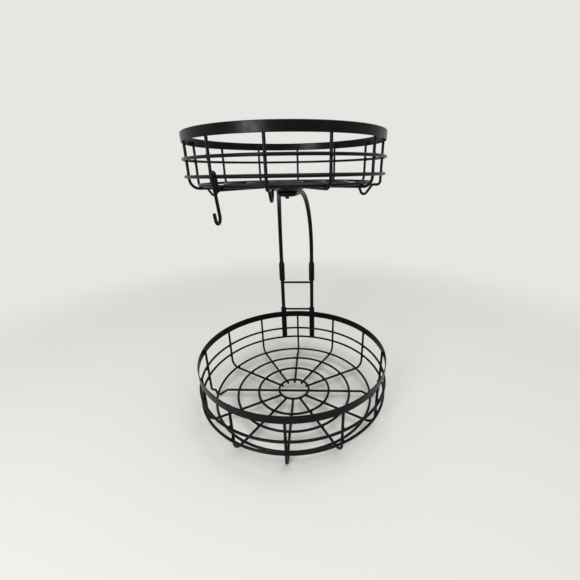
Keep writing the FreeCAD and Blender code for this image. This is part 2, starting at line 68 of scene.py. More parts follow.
LOG = logging.getLogger("tiered_basket")
FULL_TURN = 2 * math.pi
UP = Vector((0.0, 0.0, 1.0))
RIGHT = Vector((1.0, 0.0, 0.0))
BACK = Vector((0.0, 1.0, 0.0))
MM = 0.001

# Sizes and counts that more than one piece needs
POST_SLIP = 0.1 * MM
BOLT_HOLE = 3.25 * MM
TIP_BULGE = 0.45
HEXAGON = 6

# How finely a bead is made, how much beads differ in size, and how near two corners count as one
BEAD_SEGMENTS, BEAD_RINGS = 8, 5
BEAD_VARIATION = 0.14
MERGE_DISTANCE = 0.001 * MM

# The colour sockets of a Mix node, which share their names with its other sockets
MIX_FIRST, MIX_SECOND, MIX_RESULT = 6, 7, 2

# The side of the photograph, in pixels
PHOTO_SIDE = 580.0

Colour = tuple[float, float, float]
Outline = list[tuple[float, float]]


class Tier(Enum):
    """One of the two baskets."""

    LOWER = "lower"
    UPPER = "upper"


class Side(Enum):
    """One of the two posts."""

    LEFT = "left"
    RIGHT = "right"


class Body(Enum):
    """A group of pieces that moves as one."""

    LOWER_STAND = "lower_stand"
    POST_LADDER = "post_ladder"
    UPPER_FRAME = "upper_frame"
    UPPER_BASKET = "upper_basket"
    HANGING_HOOK = "hanging_hook"


class Coat(Enum):
    """A material slot of the record."""

    BASKET = "basket_coat"
    FRAME = "frame_coat"
    FASTENER = "fastener_coat"


@dataclass(frozen=True)
class Grain:
    """A noise in a coat, by its cells to the metre, its detail and the part of its range that is used."""

    cells: float
    detail: float
    low: float
    high: float


class CoatNodes:
    """The nodes of one coat's material, and the few kinds of node that a coat is made of."""

    def __init__(self, name: str) -> None:
        """Start a material from its shader and Object coordinates.

        Args:
            name: the material's name.
        """
        self.material = bpy.data.materials.new(name)
        self.material.use_nodes = True
        self.nodes, self.links = self.material.node_tree.nodes, self.material.node_tree.links
        self.shader = self.nodes["Principled BSDF"]
        self.place = self.nodes.new("ShaderNodeTexCoord").outputs["Object"]

    def noise(self, cells: float, detail: float) -> bpy.types.NodeSocket:
        """Add a noise.

        Args:
            cells: how many cells it has to the metre.
            detail: how many finer layers it has.

        Returns:
            Its value.
        """
        node = self.nodes.new("ShaderNodeTexNoise")
        node.inputs["Scale"].default_value = cells
        node.inputs["Detail"].default_value = detail
        self.links.new(self.place, node.inputs["Vector"])
        return node.outputs["Fac"]

    def spread(self, source: bpy.types.NodeSocket, low: float, high: float, least: float,
               most: float) -> bpy.types.NodeSocket:
        """Stretch a value from one range to another.

        Args:
            source: the value.
            low: where its range starts.
            high: where its range ends.
            least: where the new range starts.
            most: where the new range ends.

        Returns:
            The stretched value.
        """
        node = self.nodes.new("ShaderNodeMapRange")
        for name, number in (("From Min", low), ("From Max", high), ("To Min", least), ("To Max", most)):
            node.inputs[name].default_value = number
        self.links.new(source, node.inputs["Value"])
        return node.outputs["Result"]

    def grain(self, grain: Grain, least: float, most: float) -> bpy.types.NodeSocket:
        """Add a noise and stretch the part of its range that is used."""
        return self.spread(self.noise(grain.cells, grain.detail), grain.low, grain.high, least, most)

    def mix(self, share: bpy.types.NodeSocket, second: Colour) -> bpy.types.ShaderNodeMix:
        """Add a mix of two colours, of which the first is set or linked later.

        Args:
            share: how much of the second colour shows.
            second: the second colour.

        Returns:
            The node.
        """
        node = self.nodes.new("ShaderNodeMix")
        node.data_type = "RGBA"
        self.links.new(share, node.inputs["Factor"])
        node.inputs[MIX_SECOND].default_value = (*second, 1.0)
        return node


@dataclass(frozen=True)
class PowderCoat:
    """A satin powder coat on steel: fine orange peel, uneven gloss and a trace of dust on top."""

    name: str
    black: Colour
    worn: Colour
    dust: Colour
    gloss: float
    smoothest: float
    roughest: float
    peel_size: float
    peel_height: float
    dust_share: float
    refraction: float = 1.5
    wear: Grain = Grain(cells=55.0, detail=4.0, low=0.42, high=0.68)
    settling: Grain = Grain(cells=140.0, detail=6.0, low=0.38, high=0.62)
    sheen: Grain = Grain(cells=190.0, detail=3.0, low=0.3, high=0.7)
    dust_slope: float = 0.35
    dust_thinnest: float = 0.25
    peel_detail: float = 2.0
    peel_strength: float = 0.35

    def settled_dust(self, coat: CoatNodes) -> bpy.types.NodeSocket:
        """Work out how much dust lies on a place, which is none where the surface is steep.

        Args:
            coat: the coat's nodes.

        Returns:
            The share of dust.
        """
        normal = coat.nodes.new("ShaderNodeSeparateXYZ")
        coat.links.new(coat.nodes.new("ShaderNodeNewGeometry").outputs["Normal"], normal.inputs["Vector"])
        settled = coat.nodes.new("ShaderNodeMath")
        settled.operation = "MULTIPLY"
        level = coat.spread(normal.outputs["Z"], self.dust_slope, 1.0, 0.0, self.dust_share)
        coat.links.new(level, settled.inputs[0])
        coat.links.new(coat.grain(self.settling, self.dust_thinnest, 1.0), settled.inputs[1])
        return settled.outputs["Value"]

    def orange_peel(self, coat: CoatNodes) -> bpy.types.NodeSocket:
        """Make the fine waves of the coat's surface.

        Args:
            coat: the coat's nodes.

        Returns:
            The bent normal.
        """
        peel = coat.nodes.new("ShaderNodeBump")
        peel.inputs["Strength"].default_value = self.peel_strength
        peel.inputs["Distance"].default_value = self.peel_height
        coat.links.new(coat.noise(1.0 / self.peel_size, self.peel_detail), peel.inputs["Height"])
        return peel.outputs["Normal"]

    def material(self) -> bpy.types.Material:
        """Build the coat's node material.

        Returns:
            The material.
        """
        coat = CoatNodes(self.name)
        sockets = coat.shader.inputs
        sockets["IOR"].default_value = self.refraction
        sockets["Specular IOR Level"].default_value = self.gloss
        mottled = coat.mix(coat.grain(self.wear, 0.0, 1.0), self.worn)
        mottled.inputs[MIX_FIRST].default_value = (*self.black, 1.0)
        dusted = coat.mix(self.settled_dust(coat), self.dust)
        coat.links.new(mottled.outputs[MIX_RESULT], dusted.inputs[MIX_FIRST])
        coat.links.new(dusted.outputs[MIX_RESULT], sockets["Base Color"])
        coat.links.new(coat.grain(self.sheen, self.smoothest, self.roughest), sockets["Roughness"])
        coat.links.new(self.orange_peel(coat), sockets["Normal"])
        return coat.material


@dataclass
class Wardrobe:
    """The finished materials by coat, and the dressing of pieces in them."""

    materials: dict[Coat, bpy.types.Material]

    def coat_nodes(self) -> None:
        """Give every CAD node the coat of its slot."""
        for row in frame["record"]["subparts"]:
            slots = frame["nodes"][row["node"]].data.materials
            slots.clear()
            slots.append(self.materials[Coat(row["material_slot"])])
        LOG.info("%d CAD nodes coated", len(frame["nodes"]))

    def dress(self, piece: bpy.types.Object, body: Body, coat: Coat, replaced: str | None = None) -> None:
        """Give a new piece its finish and the body that it rides on.

        Args:
            piece: the new piece.
            body: the body that it moves with.
            coat: its finish.
            replaced: the CAD node that it stands for, if any.
        """
        piece.data.materials.append(self.materials[coat])
        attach(piece, body.value)
        if replaced:
            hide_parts(replaced)
        LOG.info("%s rides on %s with %d faces", piece.name, body.value, len(piece.data.polygons))


@dataclass(frozen=True)
class Hoop:
    """A level ring of round wire."""

    radius: float
    height: float
    wire: float

    @classmethod
    def read(cls, node: str) -> "Hoop":
        """Measure a ring's CAD node.

        Args:
            node: the ring's name.

        Returns:
            The ring's middle radius, its height and its wire's diameter.
        """
        low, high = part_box(node)
        wire = high.z - low.z
        return cls((high.x - low.x - wire) / 2, (low.z + high.z) / 2, wire)


@dataclass(frozen=True)
class SlipTube:
    """An upright tube that a post slips into, by its axis at the ground, its radii and its ends."""

    axis: Vector
    outer: float
    bore: float
    bottom: float
    top: float

    @classmethod
    def read(cls, node: str, side: Side) -> "SlipTube":
        """Measure a tube's CAD node and the post in it.

        Args:
            node: the tube's name without its side.
            side: which post it holds.

        Returns:
            The tube.
        """
        low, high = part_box(f"{side.value}_{node}")
        post_low, post_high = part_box(f"{side.value}_post")
        axis = Vector(((low.x + high.x) / 2, (low.y + high.y) / 2, 0.0))
        bore = (post_high.y - post_low.y) / 2 + POST_SLIP
        return cls(axis, (high.y - low.y) / 2, bore, low.z, high.z)


@dataclass(frozen=True)
class Bead:
    """A drop of weld or a rounded wire tip, by its middle and its three half axes."""

    place: Vector
    along: Vector
    across: Vector
    through: Vector

    def matrix(self) -> Matrix:
        """Give the matrix that makes the bead of a unit ball."""
        axes = Matrix((self.along, self.across, self.through)).transposed().to_4x4()
        return Matrix.Translation(self.place) @ axes


def outward(angle: float) -> Vector:
    """Point away from a basket's axis at an angle from the front towards the right."""
    return Vector((math.sin(angle), -math.cos(angle), 0.0))


def sideways(angle: float) -> Vector:
    """Point along a hoop at an angle from the front towards the right."""
    return Vector((math.cos(angle), math.sin(angle), 0.0))


def unevenness(index: int) -> float:
    """Vary a bead's size a little, by two waves that repeat out of step, the same way each run."""
    waves = math.sin(2.4 * index + 0.7) * math.cos(1.1 * index)
    return 1.0 + BEAD_VARIATION * waves


def to_object(name: str, mesh: bmesh.types.BMesh) -> bpy.types.Object:
    """Turn a bmesh into a smooth-shaded object at the origin.

    Args:
        name: the piece's name.
        mesh: its shape, which is freed.

    Returns:
        The linked object.
    """
    for face in mesh.faces:
        face.smooth = True
    data = bpy.data.meshes.new(name)
    mesh.to_mesh(data)
    mesh.free()
    piece = bpy.data.objects.new(name, data)
    bpy.context.scene.collection.objects.link(piece)
    return piece


def beads(name: str, drops: Iterable[Bead]) -> bpy.types.Object:
    """Make one piece of many small beads.

    Args:
        name: the piece's name.
        drops: where the beads are and how large.

    Returns:
        The piece.
    """
    mesh = bmesh.new()
    for drop in drops:
        bmesh.ops.create_uvsphere(mesh, u_segments=BEAD_SEGMENTS, v_segments=BEAD_RINGS, radius=1.0,
                                  matrix=drop.matrix())
    bmesh.ops.recalc_face_normals(mesh, faces=mesh.faces)
    return to_object(name, mesh)


def round_edges(mesh: bmesh.types.BMesh, width: float, segments: int = 3) -> None:
    """Round every outer edge that turns sharply, and leave inner corners square.

    Args:
        mesh: the shape.
        width: how far from an edge its rounding starts.
        segments: how many faces wide the rounding is.
    """
    sharp_turn = math.radians(35)
    outer = [edge for edge in mesh.edges if edge.is_manifold and edge.is_convex]
    sharp = [edge for edge in outer if edge.calc_face_angle(0.0) > sharp_turn]
    bmesh.ops.bevel(mesh, geom=sharp, offset=width, segments=segments, profile=0.5, affect="EDGES",
                    material=-1, clamp_overlap=True)


def turn_outline(mesh: bmesh.types.BMesh, outline: Outline, centre: Vector, closed: bool,
                 steps: int = 48) -> None:
    """Turn an outline about an upright axis.

    Args:
        mesh: the shape that the turned skin is added to.
        outline: radius and height of each corner, in order.
        centre: a point on the axis, at height zero.
        closed: whether the last corner joins the first, as on a ring.
        steps: how many faces make the turn.
    """
    corners = [mesh.verts.new(centre + RIGHT * radius + UP * height) for radius, height in outline]
    nexts = corners[1:] + corners[:1] if closed else corners[1:]
    sides = [mesh.edges.new(pair) for pair in zip(corners, nexts)]
    bmesh.ops.spin(mesh, geom=corners + sides, cent=centre, axis=UP, angle=FULL_TURN, steps=steps,
                   use_merge=True)
    bmesh.ops.remove_doubles(mesh, verts=mesh.verts, dist=MERGE_DISTANCE)
    bmesh.ops.recalc_face_normals(mesh, faces=mesh.faces)


def turned(name: str, outline: Outline, centre: Vector, edge: float, closed: bool = True) -> bpy.types.Object:
    """Make a turned piece with rounded edges.

    Args:
        name: the piece's name.
        outline: radius and height of each corner, in order.
        centre: a point on the axis, at height zero.
        edge: the width of the rounding.
        closed: whether the last corner joins the first, as on a ring.

    Returns:
        The piece.
    """
    mesh = bmesh.new()
    turn_outline(mesh, outline, centre, closed)
    round_edges(mesh, edge)
    return to_object(name, mesh)


def end_beads(bar: str, swell: float, reach: float) -> Iterator[Bead]:
    """Find the weld at each end of a level cross bar.

    Args:
        bar: the bar's CAD node.
        swell: how much wider than the bar its weld is.
        reach: how far the weld runs along the bar.

    Yields:
        One bead for each end.
    """
    low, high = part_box(bar)
    middle = (low + high) / 2
    half = (high.z - low.z) / 2 * swell
    for end in (low.x, high.x):
        yield Bead(Vector((end, middle.y, middle.z)), RIGHT * reach, BACK * half, UP * half)


@dataclass
class WireBasket:
    """One basket: the welds at its wire crossings, the tips of its wires and the seam of its rim."""

    tier: Tier
    body: Body
    wardrobe: Wardrobe
    through_wire: bool
    spoke_overhang: float
    spokes: int = 12
    spokes_to_a_foot: int = 3
    bead_spread: float = 0.74
    bead_depth: float = 0.40
    centre_bead_reach: float = 0.7
    rim_weld_share: float = 0.42
    floor_size_step: int = 3
    rim_size_step: int = 5
    tip_bulge: float = TIP_BULGE
    seam_angle: float = math.radians(195)
    seam_half: float = 1.3 * MM
    seam_rise: float = 0.35 * MM
    seam_ripples: int = 7
    seam_overlap: float = 0.75

    def box(self, name: str) -> tuple[Vector, Vector]:
        """Give the box of one of this basket's nodes."""
        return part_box(f"{self.tier.value}_{name}")

    def hoop(self, name: str) -> Hoop:
        """Measure one of this basket's rings."""
        return Hoop.read(f"{self.tier.value}_{name}")

    def turn(self) -> float:
        """Work out how far the basket stands turned, from where its front wire meets the wall.

        Returns:
            The angle from the front towards the right.
        """
        low, high = self.box("spoke_front")
        half = self.hoop("side_ring_upper").wire / 2
        across = low.x + half if abs(low.x) > abs(high.x) else high.x - half
        return math.atan2(across, -low.y - half)

    def angles(self) -> Iterator[float]:
        """Walk round the basket from wire to wire, starting at the front one."""
        first = self.turn()
        return (first + index * FULL_TURN / self.spokes for index in range(self.spokes))

    def wall_beads(self) -> Iterator[Bead]:
        """Find each place where a side ring crosses an upright wire.

        Yields:
            One bead for each crossing.
        """
        for row, name in enumerate(("side_ring_upper", "side_ring_lower")):
            hoop = self.hoop(name)
            for column, angle in enumerate(self.angles()):
                size = hoop.wire * unevenness(column + row * self.spokes)
                yield Bead(outward(angle) * (hoop.radius - hoop.wire / 2) + UP * hoop.height,
                           sideways(angle) * size * self.bead_spread, UP * size * self.bead_spread,
                           outward(angle) * size * self.bead_depth)

    def floor_beads(self) -> Iterator[Bead]:
        """Find each place where a floor ring lies on a floor wire, which the outer ring doesn't at a foot.

        Yields:
            One bead for each crossing.
        """
        names = ("floor_ring_outer", "floor_ring_middle", "floor_ring_inner", "centre_ring")
        for row, name in enumerate(names):
            hoop = self.hoop(name)
            for column, angle in enumerate(self.angles()):
                if name == "floor_ring_outer" and column % self.spokes_to_a_foot == 0:
                    continue
                size = hoop.wire * unevenness(self.floor_size_step * column + row * self.spokes)
                spread = size * self.bead_spread
                reach = spread * (self.centre_bead_reach if name == "centre_ring" else 1.0)
                yield Bead(outward(angle) * hoop.radius + UP * (hoop.height - hoop.wire / 2),
                           sideways(angle) * spread, outward(angle) * reach, UP * size * self.bead_depth)

    def rim_beads(self) -> Iterator[Bead]:
        """Find the weld that holds each upright wire inside the rim, where the two lie side by side.

        Yields:
            One bead for each wire.
        """
        hoop = self.hoop("side_ring_upper")
        bottom, top = self.box("rim_band")[0].z, self.box("spoke_back")[1].z
        for column, angle in enumerate(self.angles()):
            size = unevenness(self.rim_size_step * column)
            yield Bead(outward(angle) * (hoop.radius - hoop.wire / 2) + UP * (bottom + top) / 2,
                       sideways(angle) * hoop.wire * self.bead_spread * size,
                       UP * (top - bottom) * self.rim_weld_share * size,
                       outward(angle) * hoop.wire * self.bead_depth)

    def wire_tips(self) -> Iterator[Bead]:
        """Find the cut ends of the wires, rounded by the coat: at the middle ring and behind the rim.

        Yields:
            One bead for each end; a wire that runs right through has none at the middle ring.
        """
        top = self.box("spoke_back")[1].z
        centre, wall = self.hoop("centre_ring"), self.hoop("side_ring_upper")
        half = centre.wire / 2
        end = centre.radius - half - self.spoke_overhang
        floor_height = self.box("spoke_030")[0].z + half
        half_round, quarter_round = self.spokes // 2, self.spokes // 4
        for column, angle in enumerate(self.angles()):
            out, across, bulge = outward(angle), sideways(angle) * half, half * self.tip_bulge
            yield Bead(out * (wall.radius - 2 * half) + UP * top, across, out * half, UP * bulge)
            if not (self.through_wire and column % half_round == quarter_round):
                yield Bead(out * end + UP * floor_height, across, UP * half, out * bulge)

    def seam_beads(self) -> Iterator[Bead]:
        """Find the ripples of the weld that closes the rim's strip.

        Yields:
            One bead for each ripple, from the bottom up.
        """
        low, high = self.box("rim_band")
        step = (high.z - low.z) / self.seam_ripples
        for index in range(self.seam_ripples):
            yield Bead(outward(self.seam_angle) * high.x + UP * (low.z + step * (index + 0.5)),
                       sideways(self.seam_angle) * self.seam_half * unevenness(index),
                       UP * step * self.seam_overlap, outward(self.seam_angle) * self.seam_rise)

    def build(self) -> None:
        """Make and dress this basket's own pieces."""
        for name, drops in (("wall_welds", self.wall_beads()), ("floor_welds", self.floor_beads()),
                            ("rim_welds", self.rim_beads()), ("wire_tips", self.wire_tips()),
                            ("rim_seam", self.seam_beads())):
            self.wardrobe.dress(beads(f"{self.tier.value}_{name}", drops), self.body, Coat.BASKET)


@dataclass
class PostStand:
    """The two sockets behind the lower basket, and the welds of the bars between sockets and posts."""

    wardrobe: Wardrobe
    floor_thickness: float = 3.0 * MM
    lip: float = 0.55 * MM
    ring_weld_half: float = 2.6 * MM
    ring_weld_rise: float = 0.72
    ring_weld_depth: float = 0.95 * MM
    bar_weld_swell: float = 1.3
    bar_weld_reach: float = 1.5 * MM

    def socket(self, side: Side) -> bpy.types.Object:
        """Turn one blind tube with a rounded lip.

        Args:
            side: which post it holds.

        Returns:
            The tube.
        """
        tube = SlipTube.read("socket", side)
        seat = tube.bottom + self.floor_thickness
        outline = [(0.0, tube.bottom), (tube.outer, tube.bottom), (tube.outer, tube.top),
                   (tube.bore, tube.top), (tube.bore, seat), (0.0, seat)]
        return turned(f"{side.value}_socket_tube", outline, tube.axis, self.lip, closed=False)

    def ring_beads(self) -> Iterator[Bead]:
        """Find the welds between the sockets and the lower basket's side rings.

        Yields:
            One bead for each socket and ring.
        """
        for side in Side:
            outwards = SlipTube.read("socket", side).axis.normalized()
            along = UP.cross(outwards)
            for name in ("lower_side_ring_upper", "lower_side_ring_lower"):
                hoop = Hoop.read(name)
                yield Bead(outwards * (hoop.radius + hoop.wire / 2) + UP * hoop.height,
                           along * self.ring_weld_half, UP * hoop.wire * self.ring_weld_rise,
                           outwards * self.ring_weld_depth)

    def build(self) -> None:
        """Make and dress the sockets and the welds."""
        for side in Side:
            self.wardrobe.dress(self.socket(side), Body.LOWER_STAND, Coat.FRAME, f"{side.value}_socket")
        self.wardrobe.dress(beads("socket_welds", self.ring_beads()), Body.LOWER_STAND, Coat.FRAME)
        for name, bar, body in (("tie_bar_welds", "socket_tie_bar", Body.LOWER_STAND),
                                ("rung_welds", "post_rung", Body.POST_LADDER)):
            welds = beads(name, end_beads(bar, self.bar_weld_swell, self.bar_weld_reach))
            self.wardrobe.dress(welds, body, Coat.FRAME)


@dataclass
class ArmFrame:
    """The sleeves on the arm's ends, the plate on its loop and the welds that hold them."""

    wardrobe: Wardrobe
    neck_length: float = 5.0 * MM
    neck_wall: float = 0.8 * MM
    mouth_chamfer: float = 1.0 * MM
    edge: float = 0.4 * MM
    plate_edge: float = 1.4 * MM
    plate_taper: float = 7.0 * MM
    bolt_hole: float = BOLT_HOLE
    stitch_angles: tuple[float, ...] = (-70.0, 0.0, 70.0)
    stitch_ripples: int = 7
    stitch_pitch: float = 1.45 * MM
    stitch_inset: float = 1.3 * MM
    stitch_drop: float = 0.4 * MM
    ripple_half_length: float = 1.4 * MM
    ripple_half_width: float = 1.1 * MM
    ripple_half_height: float = 0.9 * MM

    def sleeve(self, side: Side) -> bpy.types.Object:
        """Turn one sleeve, necked at its top and chamfered at its mouth.

        Args:
            side: which post it slips over.

        Returns:
            The sleeve.
        """
        tube = SlipTube.read("sleeve", side)
        outline = [(tube.bore, tube.bottom), (tube.outer - self.mouth_chamfer, tube.bottom),
                   (tube.outer, tube.bottom + self.mouth_chamfer), (tube.outer, tube.top - self.neck_length),
                   (tube.bore + self.neck_wall, tube.top), (tube.bore, tube.top)]
        return turned(f"{side.value}_sleeve_tube", outline, tube.axis, self.edge)

    def plate(self) -> bpy.types.Object:
        """Turn the round plate, which tapers underneath, with rounded edges.

        Returns:
            The plate.
        """
        low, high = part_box("arm_plate")
        outline = [(self.bolt_hole, low.z), (high.x - self.plate_taper, low.z),
                   (high.x, high.z - self.plate_edge), (high.x, high.z), (self.bolt_hole, high.z)]
        return turned("arm_plate_disc", outline, Vector(), self.edge)

    def stitch_beads(self) -> Iterator[Bead]:
        """Find the ripples of the short welds between the plate's underside and the loop's outer side.

        Yields:
            One bead for each ripple of each weld.
        """
        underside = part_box("arm_plate")[0].z
        radius = -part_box("arm_rod")[0].y - self.stitch_inset
        for stitch, middle in enumerate(self.stitch_angles):
            for index in range(self.stitch_ripples):
                along = self.stitch_pitch * (index - (self.stitch_ripples - 1) / 2)
                angle = math.radians(middle) + along / radius
                size = unevenness(index + stitch * self.stitch_ripples)
                yield Bead(outward(angle) * radius + UP * (underside - self.stitch_drop),
                           sideways(angle) * self.ripple_half_length * size,
                           outward(angle) * self.ripple_half_width * size, UP * self.ripple_half_height)

    def build(self) -> None:
        """Make and dress the sleeves, the plate and the welds."""
        for side in Side:
            self.wardrobe.dress(self.sleeve(side), Body.UPPER_FRAME, Coat.FRAME, f"{side.value}_sleeve")
        self.wardrobe.dress(self.plate(), Body.UPPER_FRAME, Coat.FRAME, "arm_plate")
        self.wardrobe.dress(beads("plate_welds", self.stitch_beads()), Body.UPPER_FRAME, Coat.FRAME)


@dataclass
class Clamp:
    """The bolt, washer and nut that hold the upper basket on the plate."""

    wardrobe: Wardrobe
    shank: float = 3.0 * MM
    bolt_hole: float = BOLT_HOLE
    pitch: float = 1.0 * MM
    thread_depth: float = 0.55 * MM
    thread_steps: int = 20
    thread_start: float = 0.6
    thread_flank: float = 0.42
    tail_share: float = 0.85
    tail_chamfer: float = 0.4 * MM
    head_gap: float = 0.05 * MM
    head_edge: float = 0.9 * MM
    crown_share: float = 0.72
    key_flats: float = 4.0 * MM
    key_depth: float = 1.4 * MM
    dome_corners: int = 6
    washer_edge: float = 0.45 * MM
    nut_edge: float = 0.4 * MM
    nut_slack: float = 0.01 * MM

    def head_outline(self, bottom: float, top: float, radius: float) -> Outline:
        """Draw the round head's outline from its underside to the rim of its key hole.

        Args:
            bottom: height of the underside.
            top: height of the crown.
            radius: the head's radius.

        Returns:
            The corners.
        """
        rim = self.key_flats * self.crown_share
        corners = [(radius, bottom), (radius, bottom + self.head_edge)]
        for index in range(1, self.dome_corners + 1):
            turn = math.pi / 2 * index / self.dome_corners
            corners.append((rim + (radius - rim) * math.cos(turn),
                            bottom + self.head_edge + (top - bottom - self.head_edge) * math.sin(turn)))
        return corners

    def add_key_hole(self, mesh: bmesh.types.BMesh, top: float) -> None:
        """Sink a six-sided key hole into the head's crown.

        Args:
            mesh: the bolt, open at its crown.
            top: height of the crown.
        """
        crown = [edge for edge in mesh.edges if edge.is_boundary]
        made = bmesh.ops.create_circle(mesh, segments=HEXAGON, radius=self.key_flats / math.sqrt(3),
                                       matrix=Matrix.Translation(UP * top))
        hexagon = list({edge for vertex in made["verts"] for edge in vertex.link_edges})
        bmesh.ops.bridge_loops(mesh, edges=crown + hexagon)
        walls = bmesh.ops.extrude_edge_only(mesh, edges=hexagon)["geom"]
        corners = [item for item in walls if isinstance(item, bmesh.types.BMVert)]
        bmesh.ops.translate(mesh, vec=-UP * self.key_depth, verts=corners)
        floor = [item for item in walls if isinstance(item, bmesh.types.BMEdge)]
        bmesh.ops.contextual_create(mesh, geom=floor)
        bmesh.ops.recalc_face_normals(mesh, faces=mesh.faces)

    def add_thread(self, mesh: bmesh.types.BMesh, bottom: float, top: float) -> None:
        """Wind the thread's ridge round the bolt's tail.

        Args:
            mesh: the bolt.
            bottom: height where the thread starts.
            top: height where it ends.
        """
        turns = math.floor((top - bottom) / self.pitch) - 1
        root, start = self.shank - self.thread_depth, bottom + self.pitch * self.thread_start
        flank = self.pitch * self.thread_flank
        ridge = ((root, start - flank), (self.shank, start), (root, start + flank))
        corners = [mesh.verts.new((radius, 0.0, height)) for radius, height in ridge]
        sides = [mesh.edges.new((corner, corners[index - 1])) for index, corner in enumerate(corners)]
        bmesh.ops.spin(mesh, geom=corners + sides, cent=Vector(), axis=UP, angle=FULL_TURN * turns,
                       steps=self.thread_steps * turns, dvec=UP * self.pitch / self.thread_steps)
        open_ends = [edge for edge in mesh.edges if edge.is_boundary]
        bmesh.ops.holes_fill(mesh, edges=open_ends, sides=len(ridge))
        bmesh.ops.recalc_face_normals(mesh, faces=mesh.faces)

    def bolt(self) -> bpy.types.Object:
        """Make the bolt with its key hole and its thread.

        Returns:
            The bolt.
        """
        low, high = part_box("clamp_bolt")
        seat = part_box("clamp_washer")[1].z + self.head_gap
        nut_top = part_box("clamp_nut")[1].z
        root = self.shank - self.thread_depth
        outline = [(0.0, low.z), (root * self.tail_share, low.z), (root, low.z + self.tail_chamfer),
                   (root, nut_top), (self.shank, nut_top + self.tail_chamfer), (self.shank, seat)]
        mesh = bmesh.new()
        turn_outline(mesh, outline + self.head_outline(seat, high.z, high.x), Vector(), closed=False)
        self.add_key_hole(mesh, high.z)
        self.add_thread(mesh, low.z, nut_top)
        return to_object("clamp_bolt_threaded", mesh)

    def washer(self) -> bpy.types.Object:
        """Turn the washer that lies over the ends of the floor wires.

        Returns:
            The washer.
        """
        low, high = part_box("clamp_washer")
        outline = [(self.bolt_hole, low.z), (high.x, low.z), (high.x, high.z), (self.bolt_hole, high.z)]
        return turned("clamp_washer_disc", outline, Vector(), self.washer_edge)

    def nut(self) -> bpy.types.Object:
        """Make the six-sided nut with eased corners, turned as its CAD node is.

        Returns:
            The nut.
        """
        low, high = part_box("clamp_nut")
        across = max(high.x, high.y)
        mesh = bmesh.new()
        bmesh.ops.create_cone(mesh, cap_ends=True, segments=HEXAGON, radius1=across, radius2=across,
                              depth=high.z - low.z, matrix=Matrix.Translation(UP * (low.z + high.z) / 2))
        if max(vertex.co.x for vertex in mesh.verts) > high.x + self.nut_slack:
            half_corner = Matrix.Rotation(math.pi / HEXAGON, 3, "Z")
            bmesh.ops.rotate(mesh, verts=mesh.verts, cent=Vector(), matrix=half_corner)
        round_edges(mesh, self.nut_edge)
        return to_object("clamp_nut_eased", mesh)

    def build(self) -> None:
        """Make and dress the fasteners."""
        fasteners = {"clamp_bolt": self.bolt(), "clamp_washer": self.washer(), "clamp_nut": self.nut()}
        for node, piece in fasteners.items():
            self.wardrobe.dress(piece, Body.UPPER_FRAME, Coat.FASTENER, node)


@dataclass
class HangingHook:
    """The rounded tips of the hook's wire, placed in the plane that the hook is bent in."""

    wardrobe: Wardrobe
    wire: float = 3.4 * MM
    turn: float = math.radians(25.0)
    lean: float = math.radians(12.1)
    ring_reach: float = 3.6 * MM
    inner_leg: float = 15.0 * MM
    drop: float = 42.5 * MM
    bend: float = 6.0 * MM
    tip_rise: float = 5.8 * MM
    tip_bulge: float = TIP_BULGE

    def tips(self) -> Iterator[Bead]:
        """Find the two cut ends of the hook's wire.

        Yields:
            One bead for each end.
        """
        joint = next(row for row in frame["joints"] if row["name"] == "hook_swing")
        pivot = Vector(joint["pos_m"])
        out = Matrix.Rotation(self.turn, 3, "Z") @ Vector((pivot.x, pivot.y, 0.0)).normalized()
        level = out * math.cos(self.lean) - UP * math.sin(self.lean)
        upright = out * math.sin(self.lean) + UP * math.cos(self.lean)
        half, eye = self.wire / 2, self.ring_reach / math.cos(self.turn)
        inner_tip = (-eye, -self.inner_leg)
        outer_tip = (eye + 2 * self.bend, self.bend - self.drop + self.tip_rise)
        for across, rise in (inner_tip, outer_tip):
            yield Bead(pivot + level * across + upright * rise, level * half, out.cross(UP) * half,
                       upright * half * self.tip_bulge)

    def build(self) -> None:
        """Make and dress the tips."""
        self.wardrobe.dress(beads("hook_tips", self.tips()), Body.HANGING_HOOK, Coat.FRAME)


@dataclass(frozen=True)
class PhotoCamera:
    """The camera at the photograph's place, by where it stands and how it is turned, in degrees."""

    place: Vector
    heading: float
    pitch: float
    roll: float
    focal_share: float
    shift: tuple[float, float]
    sensor_width: float = 36.0
    nearest: float = 0.01
    farthest: float = 50.0

    def build(self) -> None:
        """Make the camera and hand it to the scene."""
        data = bpy.data.cameras.new("photo_camera")
        data.sensor_width = self.sensor_width
        data.lens = self.focal_share * self.sensor_width
        data.shift_x, data.shift_y = self.shift
        data.clip_start, data.clip_end = self.nearest, self.farthest
        camera = bpy.data.objects.new("photo_camera", data)
        turn = (Matrix.Rotation(math.radians(self.heading), 4, "Z")
                @ Matrix.Rotation(math.radians(90.0 - self.pitch), 4, "X")
                @ Matrix.Rotation(math.radians(self.roll), 4, "Z"))
        camera.matrix_world = Matrix.Translation(self.place) @ turn
        bpy.context.scene.collection.objects.link(camera)
        bpy.context.scene.camera = camera


def blend_shaders(tree: bpy.types.NodeTree, share: bpy.types.NodeSocket, first: bpy.types.NodeSocket,
                  second: bpy.types.NodeSocket) -> bpy.types.NodeSocket:
    """Blend two shaders.

    Args:
        tree: the node tree that they are in.
        share: how much of the second shader shows.
        first: the first shader.
        second: the second shader.

    Returns:
        The blended shader.
    """
    node = tree.nodes.new("ShaderNodeMixShader")
    for source, socket in zip((share, first, second), node.inputs):
        tree.links.new(source, socket)
    return node.outputs["Shader"]


